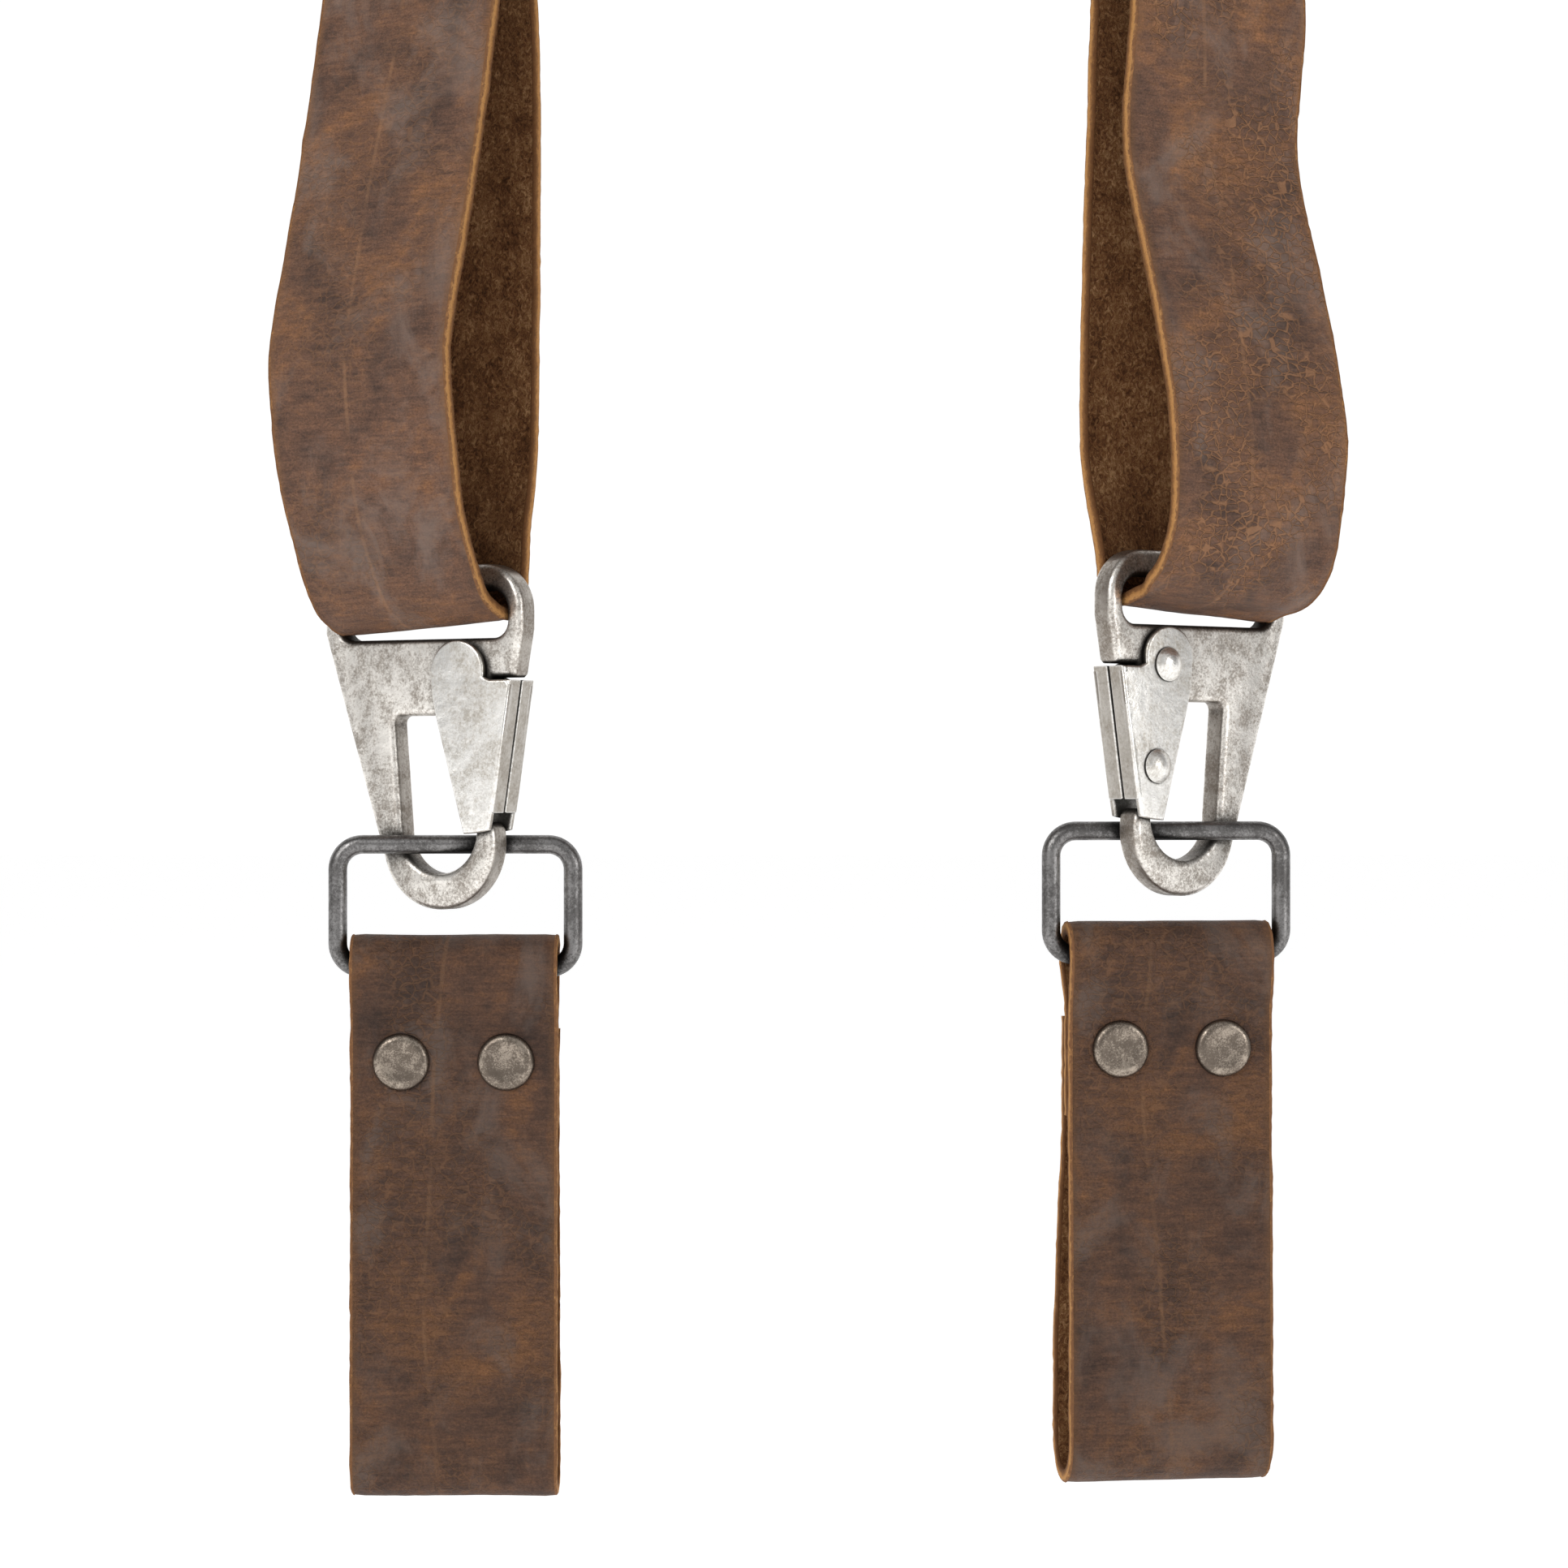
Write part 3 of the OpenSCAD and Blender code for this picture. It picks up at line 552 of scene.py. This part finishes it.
class Shader:
    """A node material that is being put together."""

    def __init__(self, name, **surface):
        self.material = bpy.data.materials.new(name)
        self.material.use_nodes = True
        self.tree = self.material.node_tree
        self.surface = self.tree.nodes["Principled BSDF"]
        for key, value in surface.items():
            self.surface.inputs[key.replace("_", " ")].default_value = value

    def add(self, kind, inputs, **settings):
        made = self.tree.nodes.new("ShaderNode" + kind)
        for key, value in settings.items():
            setattr(made, key, value)
        for key, value in inputs.items():
            if isinstance(value, bpy.types.NodeSocket):
                self.tree.links.new(value, made.inputs[key])
            else:
                made.inputs[key].default_value = value
        return made

    def strip_coordinates(self):
        """Across, along and through a strip, in millimetres."""
        return self.add("Attribute", {}, attribute_name="strip").outputs["Vector"]

    def object_coordinates(self):
        """The piece's own coordinates in millimetres."""
        own = self.add("TexCoord", {}).outputs["Object"]
        return self.add("Mapping", {"Vector": own, "Scale": (1000, 1000, 1000)}).outputs["Vector"]

    def stretched(self, vector, scale):
        return self.add("Mapping", {"Vector": vector, "Scale": scale}).outputs["Vector"]

    def noise(self, vector, scale, detail=3.0, distortion=0.0, roughness=0.5):
        return self.add("TexNoise", {"Vector": vector, "Scale": scale, "Detail": detail,
                                     "Distortion": distortion, "Roughness": roughness}).outputs["Fac"]

    def math(self, operation, a, b=0.0, clamp=False):
        return self.add("Math", {0: a, 1: b}, operation=operation, use_clamp=clamp).outputs[0]

    def between(self, value, low, high, to_low=0.0, to_high=1.0):
        """value mapped smoothly from low..high to to_low..to_high."""
        return self.add("MapRange", {"Value": value, "From Min": low, "From Max": high,
                                     "To Min": to_low, "To Max": to_high},
                        interpolation_type="SMOOTHSTEP").outputs["Result"]

    def ramp(self, value, stops):
        made = self.add("ValToRGB", {"Fac": value})
        stop_list = made.color_ramp.elements
        while len(stop_list) < len(stops):
            stop_list.new(0.5)
        for element, (place, colour) in zip(stop_list, stops):
            element.position = place
            element.color = (*colour, 1)
        return made.outputs["Color"]

    def blend(self, share, a, b, kind="MIX"):
        made = self.add("Mix", {0: share}, data_type="RGBA", blend_type=kind)
        for socket, value in ((made.inputs[6], a), (made.inputs[7], b)):
            if isinstance(value, bpy.types.NodeSocket):
                self.tree.links.new(value, socket)
            else:
                socket.default_value = (*value, 1)
        return made.outputs[2]

    def bump(self, height, distance, strength=1.0, over=None):
        inputs = {"Height": height, "Distance": distance, "Strength": strength}
        if over is not None:
            inputs["Normal"] = over
        return self.add("Bump", inputs).outputs["Normal"]

    def finish(self, colour, roughness=None, normal=None):
        for key, value in (("Base Color", colour), ("Roughness", roughness), ("Normal", normal)):
            if value is not None:
                self.tree.links.new(value, self.surface.inputs[key])
        return self.material


def grain_leather(name, wrinkles, warmth, depth=1.0):
    """Oiled pull-up leather: blotches, fine creases, pores, a long scratch and worn edges."""
    s = Shader(name, Specular_IOR_Level=0.16)
    at = s.strip_coordinates()
    parts = s.add("SeparateXYZ", {"Vector": at})
    blotch = s.noise(s.stretched(at, (0.06, 0.055, 1)), 1.0, 6.0, 0.8, 0.6)
    small = s.noise(s.stretched(at, (0.3, 0.6, 1)), 1.0, 6.0, 0.5, 0.68)
    tone = s.math("ADD", s.math("MULTIPLY", blotch, 0.6), s.math("MULTIPLY", small, 0.4))
    stops = [(0.36, (0.072, 0.044, 0.034)), (0.45, (0.118, 0.066, 0.046)), (0.52, (0.158, 0.084, 0.054)),
             (0.6, (0.215, 0.106, 0.056)), (0.72, (0.3, 0.142, 0.064))]

    # Painted shade: a depth below 1 darkens every colour of this leather, as in the belt loops' copy
    def shade_darkened(*rgb):
        return tuple(c * depth for c in rgb)

    colour = s.ramp(s.math("ADD", tone, warmth), [(place, shade_darkened(*rgb)) for place, rgb in stops])
    # Fine speckle of the grain
    fine = s.noise(s.stretched(at, (2.2, 2.9, 1)), 1.0, 7.0, 0.3, 0.78)
    colour = s.blend(0.9, colour, s.ramp(fine, [(0.3, (0.45, 0.43, 0.42)), (0.5, (1, 1, 1)),
                                                (0.7, (1.6, 1.55, 1.45))]), "MULTIPLY")
    # Short streaks across the strap, where the oil has gathered
    streak = s.noise(s.stretched(at, (0.16, 1.5, 1)), 1.0, 5.0, 0.6, 0.66)
    streak_tint = s.ramp(streak, [(0.34, (0.55, 0.55, 0.57)), (0.62, (1.25, 1.2, 1.12))])
    colour = s.blend(0.5, colour, streak_tint, "MULTIPLY")
    # Pale waxy bloom
    bloom = s.between(s.noise(s.stretched(at, (0.07, 0.05, 1)), 1.0, 7.0, 0.6, 0.66), 0.46, 0.68)
    colour = s.blend(s.math("MULTIPLY", bloom, 0.5), colour, shade_darkened(0.235, 0.175, 0.145))
    # Creases: warped cell borders, lighter where the finish has cracked
    drift = s.add("TexNoise", {"Vector": at, "Scale": 0.35, "Detail": 3.0}).outputs["Color"]
    drift = s.add("VectorMath", {0: drift, 1: (2.4, 2.4, 2.4)}, operation="MULTIPLY").outputs[0]
    warp = s.add("VectorMath", {0: at, 1: drift}, operation="ADD").outputs[0]
    cells = s.add("TexVoronoi", {"Vector": s.stretched(warp, (0.5, 0.72, 0)), "Scale": 1.0},
                  feature="DISTANCE_TO_EDGE").outputs["Distance"]
    crease = s.between(cells, 0.0, 0.12, 1.0, 0.0)
    zone = s.between(s.noise(s.stretched(at, (0.05, 0.04, 1)), 1.0, 2.0), 0.4, 0.58)
    crease = s.math("MULTIPLY", crease, s.math("MULTIPLY", zone, wrinkles), True)
    colour = s.blend(s.math("MULTIPLY", crease, 0.6), colour, shade_darkened(0.33, 0.165, 0.08))
    # A long scratch near the middle, which wanders and comes and goes
    wander = s.noise(s.stretched(at, (0, 0.011, 0)), 1.0, 1.0)
    wander = s.math("MULTIPLY", s.math("SUBTRACT", wander, 0.5), 16.0)
    off = s.math("ABSOLUTE", s.math("SUBTRACT", s.math("ADD", parts.outputs["X"], 2.2), wander))
    shown = s.between(s.noise(s.stretched(at, (0, 0.09, 0)), 1.0, 3.0), 0.38, 0.6)
    scratch = s.math("MULTIPLY", s.between(off, 0.1, 0.55, 1.0, 0.0), shown)
    colour = s.blend(s.math("MULTIPLY", scratch, 0.4), colour, shade_darkened(0.32, 0.17, 0.09))
    # The finish is rubbed lighter along both edges
    rim = s.between(s.math("ABSOLUTE", parts.outputs["X"]), 16.0, 18.2)
    colour = s.blend(s.math("MULTIPLY", rim, 0.5), colour, shade_darkened(0.27, 0.132, 0.058))
    pores = s.noise(s.stretched(at, (3.0, 2.6, 1)), 1.0, 5.0, 0.0, 0.66)
    normal = s.bump(pores, 0.2 * MM, 0.7)
    normal = s.bump(fine, 0.14 * MM, 0.6, normal)
    normal = s.bump(s.math("SUBTRACT", 1.0, crease), 0.3 * MM, 0.9, normal)
    normal = s.bump(s.math("SUBTRACT", 1.0, scratch), 0.15 * MM, 0.4, normal)
    return s.finish(colour, s.between(tone, 0.35, 0.7, 0.55, 0.72), normal)


def suede_leather():
    """The fuzzy flesh side."""
    s = Shader("leather_suede", Specular_IOR_Level=0.06)
    at = s.strip_coordinates()
    nap = s.noise(s.stretched(at, (1.1, 0.8, 1)), 1.0, 8.0, 1.4, 0.8)
    cloud = s.noise(s.stretched(at, (0.2, 0.12, 1)), 1.0, 3.0)
    tone = s.math("ADD", s.math("MULTIPLY", nap, 0.8), s.math("MULTIPLY", cloud, 0.2))
    colour = s.ramp(tone, [(0.36, (0.05, 0.02, 0.009)), (0.45, (0.17, 0.07, 0.028)),
                           (0.53, (0.36, 0.17, 0.07)), (0.64, (0.75, 0.44, 0.22))])
    fuzz = s.noise(s.stretched(at, (2.6, 2.0, 1)), 1.0, 7.0, 1.0, 0.8)
    normal = s.bump(fuzz, 0.5 * MM, 0.9, s.bump(nap, 0.8 * MM, 0.9))
    return s.finish(colour, s.between(nap, 0.3, 0.7, 0.86, 0.98), normal)


def edge_leather():
    """The cut edge: golden under the finish, browner towards the flesh side."""
    s = Shader("leather_edge", Specular_IOR_Level=0.15)
    at = s.strip_coordinates()
    through = s.add("SeparateXYZ", {"Vector": at}).outputs["Z"]
    fibres = s.noise(s.stretched(at, (1.2, 0.9, 2.2)), 1.0, 6.0, 0.6, 0.72)
    depth = s.math("ADD", through, s.math("MULTIPLY", s.math("SUBTRACT", fibres, 0.5), 2.0))
    colour = s.ramp(s.between(depth, -1.2, 1.2), [
        (0.0, (0.12, 0.05, 0.018)), (0.34, (0.25, 0.115, 0.04)), (0.62, (0.46, 0.225, 0.075)),
        (0.88, (0.5, 0.255, 0.09)), (1.0, (0.2, 0.095, 0.045))])
    rough = s.noise(s.stretched(at, (2.0, 2.4, 3.0)), 1.0, 6.0)
    return s.finish(colour, s.between(fibres, 0.3, 0.7, 0.75, 0.92), s.bump(rough, 0.4 * MM, 0.9))


def metal(name, light, dark, rubbed_and_highlight, roughness, patina, mottle, face=None):
    """Plated metal: mottled patina, painted shade in the crevices, and edges worn bright with a painted
    highlight.

    face is the way a flat plate looks; its sides, square to that, get painted shade and a painted brown
    reflection of the leather."""
    s = Shader(name, Metallic=1.0)
    at = s.object_coordinates()
    cloud = s.noise(at, mottle * 0.22, 4.0, 0.5, 0.6)
    speck = s.noise(at, mottle * 2.2, 7.0, 0.4, 0.78)
    tone = s.math("ADD", s.math("MULTIPLY", cloud, 0.4), s.math("MULTIPLY", speck, 0.6))
    worn = s.between(tone, 0.5 - patina, 0.58)
    colour = s.blend(worn, dark, light)
    # Where the soft normal leaves the true one, there is an edge; it is painted lighter, partly rubbed wear
    # and partly a painted highlight
    soft = s.add("Bevel", {"Radius": 0.5 * MM}, samples=6).outputs["Normal"]
    true = s.add("NewGeometry", {}).outputs["Normal"]
    same = s.add("VectorMath", {0: soft, 1: true}, operation="DOT_PRODUCT").outputs["Value"]
    edge = s.between(same, 0.9, 0.997, 1.0, 0.0)
    if face is not None:
        # Painted shade and a painted brown reflection of the leather on the plate's sides
        facing_it = s.add("VectorMath", {0: true, 1: face[:]}, operation="DOT_PRODUCT").outputs["Value"]
        wall_shade = s.between(s.math("ADD", s.math("ABSOLUTE", facing_it), s.math("MULTIPLY", speck, 0.2)),
                         0.25, 0.75, 1.0, 0.0)
        brown = (dark[0] * 0.5, dark[1] * 0.46, dark[2] * 0.42)
        colour = s.blend(s.math("MULTIPLY", wall_shade, 0.62), colour, brown)
    # Edges lightened: rubbed wear and a painted highlight
    colour = s.blend(s.math("MULTIPLY", edge, 0.6), colour, rubbed_and_highlight)
    # Painted shade: ambient occlusion darkens the colour in crevices, at steps and where other parts come
    # close
    occlusion = s.add("AmbientOcclusion", {"Distance": 6 * MM}, samples=12).outputs["AO"]
    shade = s.between(s.math("ADD", occlusion, s.math("MULTIPLY", s.math("SUBTRACT", speck, 0.5), 0.25)),
                      0.55, 0.93, 1.0, 0.0)
    colour = s.blend(s.math("MULTIPLY", shade, 0.94), colour, tuple(c * 0.1 for c in dark))
    fine = s.noise(at, 2.6, 5.0, 0.0, 0.6)
    cast = s.noise(at, 0.5, 3.0)
    normal = s.bump(fine, 0.06 * MM, 0.4, s.bump(cast, 0.3 * MM, 0.35))
    rough = s.between(tone, 0.35, 0.65, roughness + 0.16, roughness)
    rough = s.math("ADD", rough, s.math("MULTIPLY", shade, 0.2))
    return s.finish(colour, rough, normal)


SUEDE_SIDE = suede_leather()
CUT_EDGE = edge_leather()
LEATHERS = {
    "left": grain_leather("leather_left", 0.4, -0.01),
    "right": grain_leather("leather_right", 1.2, -0.005),
    "back": grain_leather("leather_back", 0.6, 0.01),
    # The belt loops' leather is this same leather painted darker by depth 0.62: painted shade
    "loop": grain_leather("leather_loop", 0.5, -0.005, 0.62),
}
THROUGH = {end: Vector(JOINTS[f"{end}_gate_open"]["axis"]) for end in ("left", "right", "back")}
NICKEL = {end: metal(f"antique_nickel_{end}", (0.95, 0.91, 0.85), (0.34, 0.3, 0.26), (0.97, 0.95, 0.91),
                     0.3, 0.1, 1.0, way) for end, way in THROUGH.items()}
LEAF = {end: metal(f"gate_nickel_{end}", (0.98, 0.96, 0.92), (0.48, 0.44, 0.38), (0.98, 0.97, 0.95),
                   0.26, 0.16, 0.8, way) for end, way in THROUGH.items()}
DARK_NICKEL = metal("rivet_nickel", (0.42, 0.355, 0.29), (0.16, 0.13, 0.105), (0.8, 0.74, 0.65),
                    0.27, 0.04, 1.6)
GUNMETAL = metal("gunmetal_wire", (0.27, 0.262, 0.258), (0.12, 0.115, 0.112), (0.55, 0.52, 0.48),
                 0.28, 0.06, 1.0)
SPRING = metal("spring_steel", (0.3, 0.3, 0.3), (0.12, 0.12, 0.12), (0.45, 0.45, 0.45), 0.3, 0.05, 1.0)


# ---------- put together ----------


def add_piece(piece, body, slot, *nodes):
    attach(piece, body)
    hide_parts(*nodes)
    return piece


def wear(node, material):
    """A CAD node that stays, with a better material."""
    piece = frame["nodes"][node]
    piece.data.materials.clear()
    piece.data.materials.append(material)
    for face in piece.data.polygons:
        face.material_index = 0


def dress_straps():
    for end, side, seed in (("left", -1, 1), ("right", 1, 2)):
        leather = [LEATHERS[end], CUT_EDGE, SUEDE_SIDE]
        band = strip(f"leather_strap_{end}", front_strap_stations(end, side), LEATHER, -1, leather, seed)
        add_piece(band, "harness", "leather", f"strap_{end}")
        keeper = strip(f"leather_keeper_{end}", keeper_stations(end), 1.6 * MM, 1,
                       [LEATHERS["back"], CUT_EDGE, SUEDE_SIDE], seed + 6, closed=True)
        add_piece(keeper, "harness", "leather", f"keeper_{end}")
    band = strip("leather_strap_back", back_strap_stations(), LEATHER, -1,
                 [LEATHERS["back"], CUT_EDGE, SUEDE_SIDE], 3)
    add_piece(band, "harness", "leather", "strap_back")


def dress_belt_loop(end, seed):
    place = joint_frame(f"{end}_belt_loop_swing")
    spots = [(side * RIVET_GAP / 2, -RIVET_DROP) for side in (-1, 1)]
    face = PLY + LEATHER / 2
    round_caps = [(place @ Vector((x, sign * face, z)), 6.3 * MM, 0.3 * MM)
                  for x, z in spots for sign in (-1, 1)]
    band = strip(f"leather_belt_loop_{end}", belt_loop_stations(end), LEATHER, 1,
                 [LEATHERS["loop"], CUT_EDGE, SUEDE_SIDE], seed, round_caps)
    body = f"{end}_belt_loop"
    add_piece(band, body, "leather", f"belt_loop_{end}")
    caps = lathe(f"rivet_caps_{end}", CAP, facing(place, spots, -face, -1), DARK_NICKEL)
    add_piece(caps, body, "antique_nickel", f"belt_loop_caps_{end}")
    posts = lathe(f"rivet_posts_{end}", post(2 * face / MM), facing(place, spots, face, 1), DARK_NICKEL)
    add_piece(posts, body, "antique_nickel", f"belt_loop_posts_{end}")


def dress_hook(end):
    place = hook_frame(end)
    body = plate("hook", hook_outlines(), PLATE_T, 1.15 * MM, place)
    cast = joined(f"cast_hook_{end}", [body], NICKEL[end])
    add_piece(cast, f"{end}_hook", "antique_nickel", f"hook_body_{end}")
    leaf = joined(f"folded_gate_{end}", gate_meshes(place), LEAF[end])
    add_piece(leaf, f"{end}_gate", "antique_nickel", f"gate_{end}")
    wire = ring_mesh(f"wire_ring_{end}", joint_frame(f"{end}_ring_swing"), GUNMETAL)
    add_piece(wire, f"{end}_ring", "gunmetal_wire", f"ring_{end}")
    wear(f"hook_pivot_rivet_{end}", LEAF[end])
    wear(f"gate_lower_rivet_{end}", LEAF[end])
    wear(f"gate_spring_{end}", SPRING)


PATCH_OUTLINE = [(-55, -200), (55, -200), (45, -251), (23, -266), (23, -281), (-23, -281), (-23, -266),
                 (-45, -251)]
PATCH_RIVETS = [(-31, -212), (31, -212), (-21.5, -240), (21.5, -240), (-9, -272), (9, -272)]


def dress_patch():
    """The two leather patches that join the three straps at the back, with their rivets."""
    for name, side in (("outer", 1), ("inner", -1)):
        middle = ARCH_R + side * PLY
        mesh = plate(f"leather_patch_{name}", [softened(PATCH_OUTLINE, 6, 8)], LEATHER, 0.5 * MM,
                     Matrix.Identity(4), middle)
        mesh.materials.clear()
        for material in (LEATHERS["back"], CUT_EDGE, SUEDE_SIDE):
            mesh.materials.append(material)
        held = mesh.attributes.new("strip", "FLOAT_VECTOR", "POINT")
        held.data.foreach_set("vector", np.array(
            [(v.co.x / MM * 0.3, v.co.z / MM, side * (v.co.y - middle) / MM) for v in mesh.vertices],
            np.float32).ravel())
        piece = finished(f"leather_patch_{name}", mesh, 50)
        for face in mesh.polygons:
            out = face.normal.y * side
            face.material_index = GRAIN if out > 0.7 else SUEDE if out < -0.7 else EDGE
        add_piece(piece, "harness", "leather", f"back_patch_{name}")
    spots = [(x * MM, z * MM) for x, z in PATCH_RIVETS]
    level = Matrix.Translation((0, ARCH_R, 0))
    face = PLY + LEATHER / 2
    caps = lathe("patch_caps", CAP, facing(level, spots, face, 1), DARK_NICKEL)
    add_piece(caps, "harness", "antique_nickel", "patch_rivet_caps")
    posts = lathe("patch_posts", post(2 * face / MM), facing(level, spots, -face, -1), DARK_NICKEL)
    add_piece(posts, "harness", "antique_nickel", "patch_rivet_posts")


def dress_back_strap_rivets():
    place = joint_frame("back_hook_swing")
    spots = [(side * RIVET_GAP / 2, 56 * MM) for side in (-1, 1)]
    face = DOUBLED + LEATHER / 2
    caps = lathe("back_strap_caps", CAP, facing(place, spots, -face, -1), DARK_NICKEL)
    add_piece(caps, "harness", "antique_nickel", "back_strap_rivet_caps")
    posts = lathe("back_strap_posts", post(2 * face / MM), facing(place, spots, face, 1), DARK_NICKEL)
    add_piece(posts, "harness", "antique_nickel", "back_strap_rivet_posts")


def studio():
    """A pale floor, a surround that is white behind the object and dark at its sides, and two soft lights."""
    span = 12.0
    drop = cad_low.z - 0.12
    mesh = bpy.data.meshes.new("floor")
    mesh.from_pydata([(-span, -span, drop), (span, -span, drop), (span, span, drop), (-span, span, drop)],
                     [], [(0, 1, 2, 3)])
    s = Shader("floor_white", Roughness=0.9, Emission_Strength=0.45)
    s.surface.inputs["Emission Color"].default_value = (1, 1, 1, 1)
    s.surface.inputs["Base Color"].default_value = (0.9, 0.9, 0.9, 1)
    mesh.materials.append(s.material)
    floor = bpy.data.objects.new("floor", mesh)
    bpy.context.scene.collection.objects.link(floor)

    world = bpy.data.worlds.new("studio")
    bpy.context.scene.world = world
    world.use_nodes = True
    tree = world.node_tree
    sky = tree.nodes["Background"]
    way = tree.nodes.new("ShaderNodeTexCoord")
    split = tree.nodes.new("ShaderNodeSeparateXYZ")
    reach = tree.nodes.new("ShaderNodeMapRange")
    reach.inputs["From Min"].default_value = -1
    glow = tree.nodes.new("ShaderNodeValToRGB")
    stops = glow.color_ramp.elements
    for place, grey in ((0.2, 0.62), (0.45, 0.16), (0.58, 0.3)):
        stops.new(place).color = (grey, grey, grey, 1)
    stops[0].color = (0.36, 0.36, 0.36, 1)
    stops[-1].position, stops[-1].color = 0.72, (1.05, 1.05, 1.05, 1)
    tree.links.new(way.outputs["Generated"], split.inputs[0])
    tree.links.new(split.outputs["Y"], reach.inputs["Value"])
    tree.links.new(reach.outputs["Result"], glow.inputs["Fac"])
    tree.links.new(glow.outputs["Color"], sky.inputs["Color"])

    for name, spot, size, power in (("key", (-1.1, -1.5, 0.35), 1.0, 15.0),
                                    ("fill", (1.5, -1.2, -0.3), 0.8, 6.0)):
        light = bpy.data.lights.new(name, "AREA")
        light.shape, light.size, light.energy = "DISK", size, power
        lamp = bpy.data.objects.new(name, light)
        lamp.location = spot
        aim = Vector((0, 0, -0.62)) - lamp.location
        lamp.rotation_euler = aim.to_track_quat("-Z", "Y").to_euler()
        bpy.context.scene.collection.objects.link(lamp)
    bpy.context.scene.view_settings.view_transform = "Standard"


def camera():
    """Level, straight on to the two front ends, 650 mm in front of their eye bars."""
    data = bpy.data.cameras.new("camera")
    data.sensor_width, data.lens = 36, 84.8
    seen = bpy.data.objects.new("camera", data)
    eye = Vector(JOINTS["left_hook_swing"]["pos_m"])
    seen.location = (-4.57 * MM, eye.y - 650 * MM, eye.z - 35.9 * MM)
    seen.rotation_euler = (math.radians(90), 0, 0)
    bpy.context.scene.collection.objects.link(seen)
    bpy.context.scene.camera = seen


camera()
studio()
dress_straps()
for number, end_name in enumerate(("left", "right", "back")):
    dress_hook(end_name)
    dress_belt_loop(end_name, number + 11)
dress_patch()
dress_back_strap_rivets()
wear("adjuster_screws", DARK_NICKEL)
wear("adjuster_posts", DARK_NICKEL)
